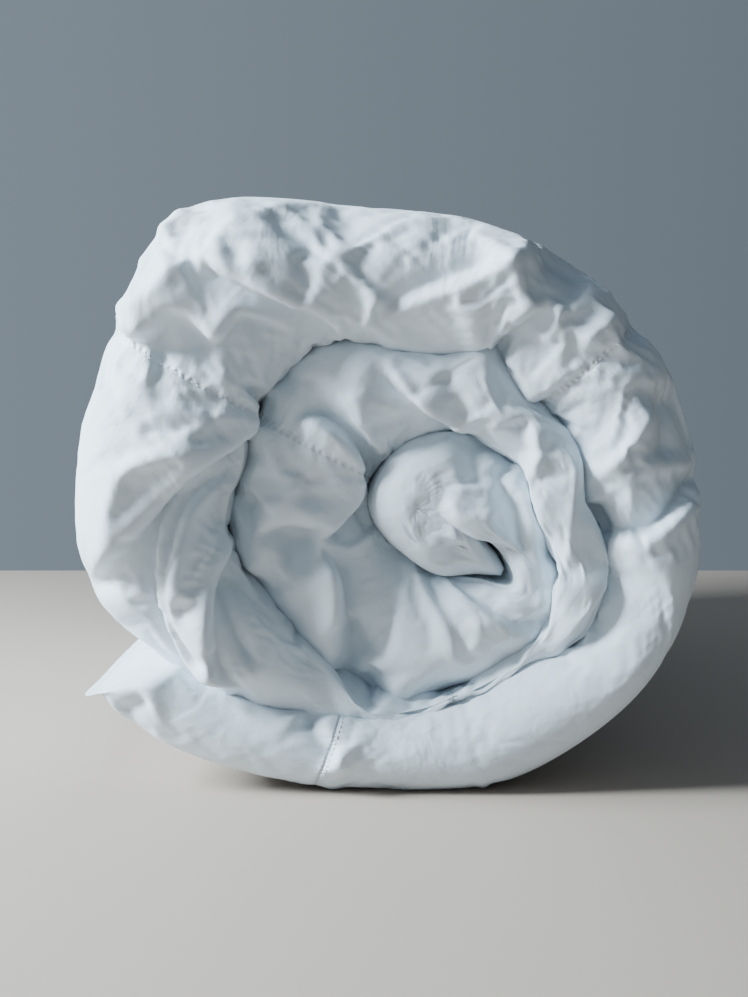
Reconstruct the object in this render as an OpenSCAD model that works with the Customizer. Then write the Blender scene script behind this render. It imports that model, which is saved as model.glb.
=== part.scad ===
// A down duvet, folded in half along its length and rolled up from one end.
// The roll's axis lies along Y with the fold at the front (-Y), and it rests on Z = 0.
// The free end of the duvet lies under the roll on its left, as a flap that can droop to the table.

/* [Roll] */
// Length of the roll: half the duvet's width, with the side seams
roll_length = 680; // [560:10:760]
// Height of the roll's centre above the table
centre_z = 185; // [180:1:188]
// How far the core of the roll is set back from its front
core_recess = 24; // [0:1:40]

/* [Duvet] */
// Thickness of the ticking, drawn thicker than the real cotton
ticking = 1; // [0.6:0.1:1.2]
// Clearance between two turns of the roll
turn_gap = 2; // [1:0.5:3]
// Clearance between the down and the cloth round it
cloth_gap = 0.5; // [0.4:0.1:0.8]
// Distance from the front to the seam that runs along the duvet
long_seam_y = 215; // [150:5:300]
// Thickness of a baffle wall
baffle = 1; // [0.6:0.1:1.5]
// How far the sewn hem stands out past the panels
hem_width = 10; // [6:1:14]
// Thickness of the sewn hem
hem_thick = 3; // [2:0.5:4]

/* [Hidden] */
// Angles of the cross seams round the roll, in degrees from +X, rising towards the core
seam_angles = [-110, 40, 150, 280, 510];
outer_end = -150;
core_end = 1040;
// The roll and the flap meet at the first seam, with room for the flap to bend
roll_start = seam_angles[0] + 0.2;
flap_end = seam_angles[0] - 0.2;
// The first baffle is sewn on the roll's side of that seam, by this distance
baffle_shift = 1.4;
// Outside of the roll: [angle, radius] from the roll's centre
spiral = [
    [-150, 246], [-120, 205], [-105, 194], [-75, 192], [-60, 190], [-30, 190],
    [0, 186], [30, 189], [60, 193], [90, 196], [105, 206], [120, 228], [130, 245],
    [150, 240], [165, 230], [180, 224], [195, 220], [210, 202], [225, 174], [240, 153],
    [270, 134], [300, 123], [330, 128], [360, 107], [390, 107], [420, 109], [450, 104],
    [480, 124], [510, 122], [540, 127], [570, 122], [600, 112], [630, 100], [660, 90],
    [690, 87], [720, 76], [750, 67], [780, 58], [810, 50], [840, 43], [870, 40],
    [1040, 40], [1080, 40], [1100, 18], [1130, 12], [1500, 12]
];
grid = 10;         // degrees from one ring of points to the next
fold_depth = 40;   // depth of the rounded front at most
arc_step = 22.5;   // degrees between points on the rounded front
back_gap = 0.3;    // from the fold's middle to each layer of the back panel
seam_clear = 2.4;  // from a cross seam to the down on each side of it
tape = 1.2;        // folded seam allowance along each edge of a baffle
tape_gap = 0.4;    // between the allowance, the ticking and the net
panel_end = roll_length - hem_width;
down_inset = ticking + cloth_gap;
slit = back_gap + ticking + cloth_gap;

cotton = [0.93, 0.94, 0.95];
back_white = [0.86, 0.88, 0.9];
down_white = [0.97, 0.97, 0.94];
mesh_white = [0.8, 0.83, 0.86];
thread_white = [0.9, 0.89, 0.85];

// The first baffle stands just inside the seam where the flap bends
baffle_angles = [for (k = [0:len(seam_angles) - 1])
    seam_angles[k] + (k == 0 ? span(baffle_shift, seam_angles[0]) : 0)];
channels = [for (k = [0:len(baffle_angles) - 1])
    [baffle_angles[k], k + 1 < len(baffle_angles) ? baffle_angles[k + 1] : core_end]];

// ---- the spiral ----

function slope(i) =
    let (a = spiral[max(i - 1, 0)], b = spiral[min(i + 1, len(spiral) - 1)]) (b[1] - a[1]) / (b[0] - a[0]);

function knot(phi, i = 0) = i >= len(spiral) - 2 || phi < spiral[i + 1][0] ? i : knot(phi, i + 1);

// A smooth curve through the knots of the spiral
function smooth_r(phi) =
    let (
        i = knot(phi), a = spiral[i], b = spiral[i + 1], w = b[0] - a[0], t = (phi - a[0]) / w,
        t2 = t * t, t3 = t2 * t
    )
    (2 * t3 - 3 * t2 + 1) * a[1] + (t3 - 2 * t2 + t) * w * slope(i)
        + (3 * t2 - 2 * t3) * b[1] + (t3 - t2) * w * slope(i + 1);

// The table flattens the outermost turn
function table_r(phi) = sin(phi) < -0.2 && phi < 0 ? centre_z / -sin(phi) : 1000;

function ring_r(k) = min(smooth_r(k * grid), table_r(k * grid));

// Radius of the outside at any angle, straight from one ring to the next
function outer_r(phi) =
    let (k = floor(phi / grid + 1e-6), at = phi - k * grid)
    at < 1e-6 ? ring_r(k)
    : let (a = ring_r(k), b = ring_r(k + 1)) a * b * sin(grid) / (a * sin(at) + b * sin(grid - at));

function inner_r(phi) = outer_r(phi + 360) + turn_gap;
function mid_r(phi) = (outer_r(phi) + inner_r(phi)) / 2;
function half_t(phi) = (outer_r(phi) - inner_r(phi)) / 2;
function fold(phi) = min(half_t(phi), fold_depth);

function ease(t) = let (u = min(max(t, 0), 1)) u * u * (3 - 2 * u);
function front_y(phi) = core_recess * ease((phi - 210) / 400);

// The roll's centre is placed so that its box is centred on X
edge_x = [for (phi = [outer_end:grid:outer_end + 360]) outer_r(phi) * cos(phi)];
centre_x = -(max(edge_x) + min(edge_x)) / 2;

// Angle that spans a length at the middle of the duvet's thickness
function span(length, phi) = length / mid_r(phi) * 180 / PI;

// ---- profiles: closed loops of [radius, depth] at one angle ----

// The folded duvet's outside, moved in by inset, from its outer edge round the front to its inner edge
function fold_line(phi, inset, end_y) =
    let (m = mid_r(phi), h = half_t(phi) - inset, f = fold(phi), y0 = front_y(phi))
    concat(
        [[m + h, end_y]],
        [for (a = [0:arc_step:180]) [m + h * cos(a), y0 + inset + (f - inset) * (1 - sin(a))]],
        [[m - h, end_y]]
    );

function reversed(list) = [for (i = [len(list) - 1:-1:0]) list[i]];

function face_loop(phi) =
    concat(fold_line(phi, 0, panel_end), reversed(fold_line(phi, ticking, panel_end)));

// The duvet's other face, which meets itself inside the fold
function back_loop(phi) =
    let (m = mid_r(phi), y0 = front_y(phi) + fold(phi) + cloth_gap, out = back_gap + ticking)
    [
        [m + out, panel_end], [m + out, y0], [m - out, y0], [m - out, panel_end],
        [m - back_gap, panel_end], [m - back_gap, y0 + ticking],
        [m + back_gap, y0 + ticking], [m + back_gap, panel_end]
    ];

// Down that fills the fold as far as the seam along the duvet
function front_loop(phi, inset = down_inset, end_y = long_seam_y - seam_clear) =
    let (m = mid_r(phi), y0 = front_y(phi) + fold(phi), s = slit + inset - down_inset)
    concat(
        fold_line(phi, inset, end_y),
        [[m - s, end_y], [m - s, y0], [m + s, y0], [m + s, end_y]]
    );

function leg_r(phi, side, share) =
    mid_r(phi) + side * (slit + (half_t(phi) - down_inset - slit) * share);

// A four-sided loop on one leg of the fold, from depth y0 to y1
function leg_loop(phi, side, y0, y1) =
    let (a = leg_r(phi, side, 0), b = leg_r(phi, side, 1))
    side > 0 ? [[b, y1], [b, y0], [a, y0], [a, y1]] : [[a, y1], [a, y0], [b, y0], [b, y1]];

// The side seam: the panels' turned edges close the leg, and the hem stands out from them
function hem_loop(phi, side) =
    let (
        a = mid_r(phi) + side * back_gap, b = mid_r(phi) + side * half_t(phi), c = (a + b) / 2,
        h = hem_thick / 2, lo = min(a, b), hi = max(a, b), y0 = panel_end + 0.1, y1 = panel_end + ticking
    )
    [
        [hi, y0], [lo, y0], [lo, y1], [c - h, y1],
        [c - h, roll_length], [c + h, roll_length], [c + h, y1], [hi, y1]
    ];

// ---- sweeps along the spiral ----

// Angles from a to b: both ends, and every ring between them
function ring_angles(a, b) =
    concat([a], [for (k = [floor(a / grid + 1e-6) + 1:ceil(b / grid - 1e-6) - 1]) k * grid], [b]);

function place(loop, phi) = [for (p = loop)
    [centre_x + p[0] * cos(phi), p[1] - roll_length / 2, centre_z + p[0] * sin(phi)]];

// One closed solid through equal loops of points; caps are the faces that close its first loop
module skin(rings, caps) {
    n = len(rings[0]);
    last = len(rings) - 1;
    polyhedron(
        points = [for (ring = rings) each ring],
        faces = concat(
            caps,
            [for (i = [0:last - 1], j = [0:n - 1])
                [i * n + j, (i + 1) * n + j, (i + 1) * n + (j + 1) % n, i * n + (j + 1) % n]],
            [for (cap = caps) [for (j = reversed(cap)) last * n + j]]
        )
    );
}

// Caps of a thin wall whose loop runs along one side and back along the other
function wall_caps(n) = [for (j = [0:n / 2 - 2]) [j, j + 1, n - 2 - j, n - 1 - j]];

// Caps of the down in the fold: two legs and the rounded front between them
function front_caps(k = 3 + 180 / arc_step) = [
    [0, 1, k + 2, k + 3],
    concat([for (j = [1:k - 2]) j], [k + 1, k + 2]),
    [k - 2, k - 1, k, k + 1]
];

// A flat plate across the duvet at one angle, from depth t0 to t1 along the spiral
module across(phi, t0, t1, loop) {
    translate([centre_x, -roll_length / 2, centre_z])
        rotate([0, -phi, 0])
            translate([0, 0, t0])
                linear_extrude(height = t1 - t0)
                    polygon(loop);
}

function trimmed(a, b, clear = seam_clear) = ring_angles(a + span(clear, a), b - span(clear, b));

// ---- pieces ----

module face(a, b) {
    rings = [for (phi = ring_angles(a, b)) place(face_loop(phi), phi)];
    color(cotton) skin(rings, wall_caps(len(rings[0])));
}

module back(a, b) {
    rings = [for (phi = ring_angles(a, b)) place(back_loop(phi), phi)];
    color(back_white) skin(rings, wall_caps(len(rings[0])));
}

module down_front(a, b) {
    color(down_white) skin([for (phi = trimmed(a, b)) place(front_loop(phi), phi)], front_caps());
}

module down_leg(a, b, side) {
    y0 = long_seam_y + seam_clear;
    y1 = panel_end - cloth_gap;
    color(down_white)
        skin([for (phi = trimmed(a, b)) place(leg_loop(phi, side, y0, y1), phi)], [[0, 1, 2, 3]]);
}

module long_baffle(a, b, side) {
    y0 = long_seam_y - baffle / 2;
    color(mesh_white)
        skin([for (phi = trimmed(a, b)) place(leg_loop(phi, side, y0, y0 + baffle), phi)], [[0, 1, 2, 3]]);
}

module side_hem(a, b, side) {
    caps = [[0, 1, 2, 3, 6, 7], [3, 4, 5, 6]];
    color(cotton) skin([for (phi = ring_angles(a, b)) place(hem_loop(phi, side), phi)], caps);
}

module cross_baffle(phi) {
    color(mesh_white)
        across(phi, -baffle / 2, baffle / 2,
            front_loop(phi, down_inset + tape + tape_gap, panel_end - cloth_gap));
}

// Folded seam allowance that joins a baffle's edge to the inside of the face panel
module cross_seam_tape(phi) {
    end_y = panel_end - cloth_gap;
    loop = concat(
        fold_line(phi, ticking + tape_gap, end_y), reversed(fold_line(phi, down_inset + tape, end_y))
    );
    color(thread_white) across(phi, -baffle / 2, baffle / 2, loop);
}

// The duvet's sewn end: the panels' turned edges close it, and the hem stands out from them
module end_hem(phi, way) {
    m = mid_r(phi);
    h = half_t(phi);
    y0 = front_y(phi) + fold(phi);
    wall = concat(
        fold_line(phi, 0, panel_end),
        [[m - back_gap, panel_end], [m - back_gap, y0 + ticking],
         [m + back_gap, y0 + ticking], [m + back_gap, panel_end]]
    );
    near = 0.1;
    color(cotton) union() {
        across(phi, min(way * near, way * ticking), max(way * near, way * ticking), wall);
        across(phi, min(way * near, way * hem_width), max(way * near, way * hem_width),
            concat(fold_line(phi, h / 2 - hem_thick / 2, panel_end),
                reversed(fold_line(phi, h / 2 + hem_thick / 2, panel_end))));
    }
}

// ---- nodes ----

face(roll_start, core_end);  // face_panel
back(roll_start, core_end);  // back_panel

for (k = [0:len(channels) - 1]) {
    a = channels[k][0];
    b = channels[k][1];
    down_front(a, b);
    down_leg(a, b, 1);
    down_leg(a, b, -1);
    cross_baffle(a);
}

for (c = channels) long_baffle(c[0] + 1, c[1], 1);  // long_baffle_outer
for (c = channels) long_baffle(c[0] + 1, c[1], -1);  // long_baffle_inner
for (c = channels) cross_seam_tape(c[0]);  // cross_seam_tapes
side_hem(roll_start, core_end, 1);  // side_hem_outer
side_hem(roll_start, core_end, -1);  // side_hem_inner
end_hem(core_end, 1);  // core_end_hem

face(outer_end, flap_end);  // flap_face_panel
back(outer_end, flap_end);  // flap_back_panel
down_front(outer_end, flap_end);  // flap_down_front
down_leg(outer_end, flap_end, 1);  // flap_down_outer
down_leg(outer_end, flap_end, -1);  // flap_down_inner
union() {  // flap_long_baffles
    long_baffle(outer_end, flap_end, 1);
    long_baffle(outer_end, flap_end, -1);
}
union() {  // flap_side_hems
    side_hem(outer_end, flap_end, 1);
    side_hem(outer_end, flap_end, -1);
}
end_hem(outer_end, -1);  // flap_end_hem
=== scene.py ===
"""A rolled down duvet: cotton ticking over down, with its hems, seams and a soft studio."""

import math

import bmesh
import bpy
import numpy as np
from bpy.props import FloatProperty, FloatVectorProperty, PointerProperty
from mathutils import Matrix, Vector


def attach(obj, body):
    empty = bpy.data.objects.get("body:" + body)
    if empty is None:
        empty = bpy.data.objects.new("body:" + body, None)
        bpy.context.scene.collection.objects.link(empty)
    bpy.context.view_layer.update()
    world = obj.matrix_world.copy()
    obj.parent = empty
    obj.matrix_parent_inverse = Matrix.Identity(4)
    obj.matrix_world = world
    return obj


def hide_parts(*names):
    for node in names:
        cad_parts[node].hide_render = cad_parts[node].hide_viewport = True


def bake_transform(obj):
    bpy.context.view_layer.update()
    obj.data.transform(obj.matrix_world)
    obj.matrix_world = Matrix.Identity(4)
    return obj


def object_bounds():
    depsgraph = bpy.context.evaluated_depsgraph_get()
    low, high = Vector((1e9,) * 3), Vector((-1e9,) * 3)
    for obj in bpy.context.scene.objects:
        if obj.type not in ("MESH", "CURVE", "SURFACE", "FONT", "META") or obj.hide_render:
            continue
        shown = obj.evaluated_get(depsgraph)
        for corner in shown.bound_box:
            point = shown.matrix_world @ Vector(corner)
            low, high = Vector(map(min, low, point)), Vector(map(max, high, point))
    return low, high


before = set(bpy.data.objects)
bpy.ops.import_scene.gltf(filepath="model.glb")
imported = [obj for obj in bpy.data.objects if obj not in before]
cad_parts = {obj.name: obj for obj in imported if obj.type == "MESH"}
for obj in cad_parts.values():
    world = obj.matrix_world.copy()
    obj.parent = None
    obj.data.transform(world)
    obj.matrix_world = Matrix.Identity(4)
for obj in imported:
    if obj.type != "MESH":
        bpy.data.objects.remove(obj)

bl_info = {
    "name": "Rolled Duvet",
    "version": (1, 0, 0),
    "blender": (4, 5, 0),
    "location": "View3D > Sidebar > Duvet",
    "description": "Builds a rolled down duvet in cotton ticking, with its hems, seams and a studio",
    "category": "Add Mesh",
}

MM = 0.001
CAD_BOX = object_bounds()

# ---- the roll's own lines, in millimetres and degrees, in the frame's directions ----

CENTRE_X = 18.5
CENTRE_Z = 185.0
TAIL_ANGLE = -150.0
CORE_ANGLE = 1062.0
FLAP_ANGLE = -110.0
SEAM_ANGLES = (-110.0, 40.0, 150.0, 280.0, 510.0)
ROLL_LENGTH = 680.0
LONG_SEAM_Y = 215.0
HEM_WIDTH = 10.0
HEM_LINE = ROLL_LENGTH - HEM_WIDTH
HEM_THICK = 3.0
FOLD_DEPTH = 40.0
LEG_LENGTH = HEM_LINE - FOLD_DEPTH
TURN_GAP = 2.0
GAP_END = 700.0  # by this angle the turns meet
DOME_START = 650.0  # from this angle on the turns close up into one dome
HIDDEN_ANGLE = 225.0  # past this the outer leg is covered by the turn outside it
CORE_RECESS = 19.0
SQUEEZE_RECESS = 16.0
LOBE_RECESS = 12.0
LOBES_DEPTH = 30.0  # the lobes of the front fade out behind this
LOBES_FADE = 110.0
EVEN_DEPTH = 300.0  # well behind the front's lobes
HALF_THINNEST = 1.5
OVER_TABLE = 0.4  # the lowest that the cloth lies
FAR = 1000.0  # further than anything on the roll
# Room left for the down to press the ticking out: (angle, how much)
PUFF_ROOM = ((-150, 2), (-60, 3), (-40, 5), (50, 6), (80, 11), (112, 11),
             (126, 4), (138, 5), (150, 7), (195, 7), (235, 0), (240, 0))

# Outside of the roll behind its gathered front: (angle, radius), from the free end inwards
EVEN_TURNS = (
    (-150, 246), (-120, 205), (-105, 194), (-75, 192), (-60, 190), (-30, 190),
    (0, 186), (30, 189), (60, 193), (90, 196), (105, 206), (120, 228), (130, 245),
    (150, 240), (165, 230), (180, 224), (195, 220), (210, 202), (225, 174), (240, 153),
    (270, 134), (300, 123), (330, 128), (360, 107), (390, 107), (420, 109), (450, 104),
    (480, 124), (510, 122), (540, 127), (570, 122), (600, 112), (630, 100), (660, 90),
    (690, 87), (720, 76), (750, 67), (780, 58), (810, 50), (840, 43), (870, 40),
    (1040, 40), (1080, 40), (1100, 18), (1130, 12), (1500, 12),
)
# The same line at the front, where the fold is squeezed and lobed
FRONT_TURNS = (
    (-150, 246), (-120, 205), (-105, 194), (-75, 192), (-60, 190), (-30, 190), (0, 186), (30, 189),
    (60, 193), (90, 197), (105, 207), (117, 226), (125, 241), (130, 247), (136, 243), (150, 238),
    (157, 233), (165, 230), (180, 224), (190, 222), (197, 221), (204, 207), (211, 196), (219, 184),
    (229, 167), (239, 153), (250, 143), (264, 137), (283, 128), (305, 125), (322, 137), (334, 133),
    (343, 127), (351, 118), (364, 103), (384, 108), (397, 104), (406, 103), (420, 109), (428, 118),
    (436, 105), (457, 105), (477, 122), (492, 126), (515, 121), (527, 117), (540, 125), (552, 126),
    (562, 122), (580, 118), (594, 122), (605, 128), (616, 134), (627, 135), (640, 127), (655, 122),
    (667, 118), (678, 115), (690, 106), (697, 102), (705, 92), (722, 79), (738, 76), (748, 69),
    (758, 63), (782, 56), (815, 43), (846, 34), (882, 30), (920, 28), (949, 28), (986, 36),
    (1010, 50), (1031, 62), (1042, 78), (1052, 58), (1064, 8), (1080, 1), (1500, 1),
)

# ---- folds over the front: kind, height, width, lap, and a line of (x, z) points ----
# A tuck is a step that is raised on the left of its line. Lap counts the turns inwards from angle 0,
# -1 is the cloth before it, and 2 stands for the whole core.
FOLDS = (
    # the left side and its rims
    ("tuck", 16, 20, 0, (  # left piece's lower edge
        (-195, 133), (-177, 153), (-156, 177), (-130, 205), (-95, 234), (-86, 245), (-93, 265),
        (-83, 273))),
    ("ridge", 8, 16, 0, (  # left piece's shoulder
        (-107, 231), (-136, 220), (-162, 211), (-171, 192), (-176, 166), (-189, 135))),
    ("tuck", 11, 8, 0, (  # outermost rim
        (-121, 200), (-137, 190), (-145, 170), (-148, 143), (-147, 124), (-141, 105), (-129, 84),
        (-109, 72), (-95, 66))),
    ("tuck", 10, 7, 0, (  # second rim
        (-90, 214), (-105, 203), (-128, 183), (-136, 161), (-140, 138), (-138, 118), (-132, 103),
        (-123, 88), (-113, 76))),
    ("valley", 8, 5, 0, ((-134, 133), (-132, 111), (-125, 93), (-116, 79))),  # third rim
    ("tuck", 12, 9, 0, (  # fourth rim
        (-92, 67), (-105, 73), (-113, 83), (-115, 101), (-114, 124), (-111, 138), (-106, 166),
        (-109, 181))),
    ("valley", 9, 8, 0, ((-108, 152), (-104, 130), (-95, 101), (-83, 80))),  # valley past the rims
    # the top
    ("tuck", 12, 16, 0, (  # top sheet's lower edge
        (-130, 346), (-107, 337), (-80, 324), (-56, 314), (-44, 309), (-31, 296))),
    ("tuck", 13, 13, 0, (  # crease under the top sheet
        (-186, 310), (-174, 300), (-162, 295), (-150, 300), (-140, 309), (-131, 310), (-121, 301),
        (-109, 294), (-102, 302), (-95, 309), (-82, 307), (-69, 302), (-56, 295))),
    ("ridge", 4, 8, 0, ((-148, 358), (-139, 366), (-128, 376))),  # small apex left
    ("valley", 4, 10, 0, ((-139, 358), (-131, 361), (-130, 370))),  # small facet hollow
    ("ridge", 7, 10, 0, ((-133, 350), (-137, 335), (-152, 317), (-180, 310))),  # left shoulder ridge
    ("valley", 4, 8, 0, ((-191, 298), (-180, 297), (-170, 292))),  # notch
    ("valley", 8, 16, 0, ((-156, 285), (-130, 288), (-109, 291))),  # hollow above the left seam
    ("ridge", 3, 8, 0, ((-91, 361), (-87, 346), (-83, 333))),  # ridge of the top left
    ("valley", 3, 12, 0, ((-102, 341), (-93, 346), (-92, 359))),  # hollow by that ridge
    ("valley", 7, 10, 0, ((72, 346), (48, 337), (23, 328), (0, 313), (-7, 302))),  # long top crease
    ("ridge", 7, 11, 0, ((94, 360), (75, 341), (48, 327), (13, 316), (-15, 301))),  # long top ridge
    ("ridge", 5, 8, 0, ((-4, 324), (-11, 314), (-17, 300))),  # top ridge by the crease
    ("valley", 12, 14, 0, ((102, 356), (116, 346), (132, 338))),  # upper right apex hollow
    ("tuck", 14, 16, 0, ((45, 285), (69, 296), (85, 307), (101, 318))),  # upper right tuck
    ("ridge", 8, 9, 0, ((72, 289), (80, 281), (91, 266), (101, 252))),  # upper right edge
    ("ridge", 6, 8, 0, ((101, 317), (104, 306), (95, 289))),  # ridge right of the tuck
    # the right side
    ("ridge", 6, 7, 0, ((145, 310), (130, 298), (120, 289))),  # right ridge one
    ("ridge", 6, 7, 0, ((152, 304), (145, 292), (141, 283))),  # right ridge two
    ("valley", 6, 7, 0, ((143, 291), (155, 298), (166, 292))),  # right valley between
    ("valley", 10, 11, 0, ((182, 267), (178, 244), (178, 214))),  # right long valley
    ("ridge", 7, 10, 0, ((172, 254), (154, 228), (132, 201))),  # right long ridge
    ("tuck", 12, 14, 0, ((206, 211), (187, 187), (156, 168), (140, 174))),  # right lower edge
    ("valley", 11, 10, 0, ((125, 187), (132, 175), (136, 163))),  # right pucker
    ("tuck", 5, 11, 0, ((108, 90), (119, 105), (129, 120), (137, 135), (139, 149))),  # flap's corner
    # the cloth on the table and the flap
    ("valley", 8, 7, -1, ((-56, 54), (-45, 38), (-33, 24))),  # bottom pucker
    ("ridge", 5, 8, -1, ((-46, 53), (-35, 32), (-28, 11))),  # bottom wedge
    ("valley", 5, 7, -1, ((-175, 51), (-165, 58), (-154, 64))),  # tail crease
    # the lobes on the left of the inner turn
    ("tuck", 16, 15, 1, ((-21, 197), (-20, 214), (-29, 228), (-44, 240), (-61, 246))),  # lobe's top edge
    ("tuck", 16, 18, 1, ((-43, 162), (-32, 177), (-22, 193), (-21, 211))),  # lobe's right edge
    ("tuck", 21, 18, 1, (  # lower lobe's right edge
        (-28, 66), (-32, 73), (-33, 111), (-35, 138), (-45, 159))),
    ("tuck", 13, 11, 1, ((-89, 166), (-67, 174), (-45, 169))),  # neck crease
    ("valley", 14, 10, 1, ((-75, 155), (-63, 160), (-46, 164))),  # neck hollow
    ("ridge", 6, 8, 1, ((-77, 168), (-83, 153), (-93, 138))),  # neck ridge
    ("valley", 9, 9, 1, ((-89, 193), (-93, 188), (-102, 184))),  # lobe's left fold
    ("valley", 5, 7, 1, ((-77, 260), (-79, 250), (-80, 236))),  # lobe crease
    ("ridge", 5, 7, 1, ((-85, 188), (-71, 188), (-61, 198), (-52, 200))),  # lobe star
    ("ridge", 6, 10, 1, ((-71, 272), (-77, 260), (-80, 237), (-74, 213), (-65, 200))),  # lobe shoulder
    # the band over the core and the strip on its right
    ("tuck", 11, 12, 1, ((-6, 282), (5, 267), (24, 248), (46, 237), (58, 231))),  # band's overlap
    ("valley", 3, 6, 1, ((2, 280), (13, 270), (23, 255))),  # band's inner crease
    ("ridge", 3, 6, 1, ((-24, 262), (-19, 247), (-15, 235))),  # band's small ridge
    ("valley", 5, 8, 1, ((33, 275), (41, 260), (50, 240))),  # band's crease
    ("valley", 6, 7, 1, ((-15, 235), (0, 237), (23, 237))),  # band's lower crease
    ("ridge", 7, 6, 1, ((91, 250), (93, 228), (98, 198), (108, 161))),  # strip ridge
    ("valley", 6, 8, 1, ((83, 245), (86, 231), (90, 216))),  # strip hollow
    ("ridge", 5, 6, 1, ((119, 231), (115, 192), (116, 153), (111, 114))),  # right strip ridge
    ("valley", 3, 3, 1, ((17, 151), (29, 130), (41, 110), (53, 80))),  # diagonal crease
    ("ridge", 3, 3, 1, ((13, 149), (25, 128), (37, 107), (48, 79))),  # diagonal ridge
    ("ridge", 2.5, 4, 1, ((58, 114), (56, 101), (55, 90))),  # short crease
    # the pillow under the core
    ("tuck", 9, 9, 1, ((108, 109), (87, 105), (69, 114), (52, 125), (37, 137))),  # pillow's right edge
    ("ridge", 4, 6, 1, ((72, 128), (85, 117), (90, 109))),  # sheet's crease
    ("ridge", 6, 7, 1, ((4, 73), (8, 62), (12, 51))),  # bottom little pleat
    ("valley", 7, 7, 1, ((-9, 80), (-14, 68), (-20, 58))),  # bottom little valley
    ("valley", 8, 8, 1, ((-32, 110), (-24, 94), (-13, 83))),  # middle dark slit
    # the core
    ("tuck", 9, 8, 2, (  # crinkled strip
        (69, 224), (85, 213), (78, 205), (85, 184), (89, 161), (94, 147))),
    ("ridge", 4, 4, 2, ((85, 203), (87, 184), (98, 162), (102, 153))),  # crinkled ridge
    ("valley", 5, 6, 2, ((56, 232), (56, 213), (57, 197))),  # bulb's crease
    ("ridge", 4, 7, 2, ((33, 190), (50, 181), (73, 178))),  # bulb's ridge
    ("tuck", 9, 9, 2, ((36, 164), (56, 165), (89, 159))),  # bulb's fold
    ("valley", 6, 5, 2, ((39, 162), (43, 155), (48, 151))),  # bulb's small loop
)
TUCK_GAIN = 1.7  # how much higher than the heights above the folds are laid
CREASE_GAIN = 1.35
FOLD_ROWS = (-0.16, 1.12)  # past these rows there are no folds
CORE_TURNS = (685, 1072)


def smoothstep(t):
    """0 below 0, 1 above 1, and a smooth rise between."""
    t = np.clip(t, 0, 1)
    return t * t * (3 - 2 * t)


def round_off(t):
    """A quarter round: 0 at 0, and 1 from 1 on."""
    return np.sqrt(1 - (1 - np.clip(t, 0, 1)) ** 2)


def mix(a, b, t):
    """a where t is 0, b where t is 1."""
    return a + (b - a) * t


def through(knots, at):
    """A smooth curve through (place, value) points."""
    knots = np.array(knots, float)
    slope = np.gradient(knots[:, 1], knots[:, 0])
    i = np.clip(np.searchsorted(knots[:, 0], at, side="right") - 1, 0, len(knots) - 2)
    width = knots[i + 1, 0] - knots[i, 0]
    t = np.clip((at - knots[i, 0]) / width, 0, 1)
    return (
        (2 * t**3 - 3 * t**2 + 1) * knots[i, 1] + (t**3 - 2 * t**2 + t) * width * slope[i]
        + (3 * t**2 - 2 * t**3) * knots[i + 1, 1] + (t**3 - t**2) * width * slope[i + 1]
    )


def outside(angle, depth):
    """Radius of the roll's outside at an angle and a depth, flattened where it lies on the table."""
    front_share = 1 - smoothstep((depth - LOBES_DEPTH) / LOBES_FADE)
    radius = mix(through(EVEN_TURNS, angle), through(FRONT_TURNS, angle), front_share)
    radius = radius - through(PUFF_ROOM, np.minimum(angle, PUFF_ROOM[-1][0]))
    down = np.sin(np.radians(angle))
    table = np.where((down < -0.2) & (angle < 0), CENTRE_Z / np.maximum(-down, 0.2), FAR)
    return np.minimum(radius, table)


def inside(angle, depth):
    """Radius of the roll's inside: the outside of the next turn, and the gap between them."""
    return outside(angle + 360, depth) + TURN_GAP * smoothstep((GAP_END - angle) / 30)


def back_sway(length):
    """How the legs stray from an even roll towards the hems, in millimetres."""
    return 3.6 * np.sin(length / 41 + 1.3) + 2.6 * np.sin(length / 23 + 1.1 * np.sin(length / 67))


def front_depth(angle):
    """How far the front is set back: towards the core, where it is squeezed, and at its lobes."""
    squeezed = smoothstep((angle - 215) / 30) * smoothstep((335 - angle) / 30)
    lobes = smoothstep((angle - 470) / 40) * smoothstep((650 - angle) / 50)
    towards_core = smoothstep((angle - 210) / 400)
    return CORE_RECESS * towards_core + SQUEEZE_RECESS * squeezed + LOBE_RECESS * lobes


def ring_angles(step):
    """Angles from the tail to the core a fixed length of duvet apart, and those lengths."""
    fine_step = 0.25
    fine = np.arange(TAIL_ANGLE, CORE_ANGLE + 0.01, fine_step)
    middle = (outside(fine, EVEN_DEPTH) + inside(fine, EVEN_DEPTH)) / 2
    length = np.concatenate([[0], np.cumsum(np.radians(fine_step) * (middle[1:] + middle[:-1]) / 2)])
    at = np.linspace(0, length[-1], int(round(length[-1] / step)) + 1)
    return np.interp(at, length, fine), at


def ring_at(angles, place):
    """The number of the ring that is nearest to an angle."""
    return int(np.argmin(abs(angles - place)))


def section_rows(front, leg_first, growth, leg_most, arc_rows):
    """Rows over the fold: -1 is the outer hem, 0 to 1 goes round the front, and 2 is the inner hem."""
    legs = []
    # the inner leg is out of sight, so its rows lie further apart
    for first, most in ((leg_first, leg_most), (leg_first * 1.6, leg_most * 3)):
        depth, step, rows = 0.0, first, []
        while True:
            depth += step
            if depth > front:
                step = min(step * growth, most)
            if depth > LEG_LENGTH - step / 2:
                break
            rows.append(depth / LEG_LENGTH)
        legs.append(np.array(rows))
    arc = np.linspace(0, 1, arc_rows + 1)
    return np.concatenate([[-1.0], -legs[0][::-1], arc, 1 + legs[1], [2.0]])


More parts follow.
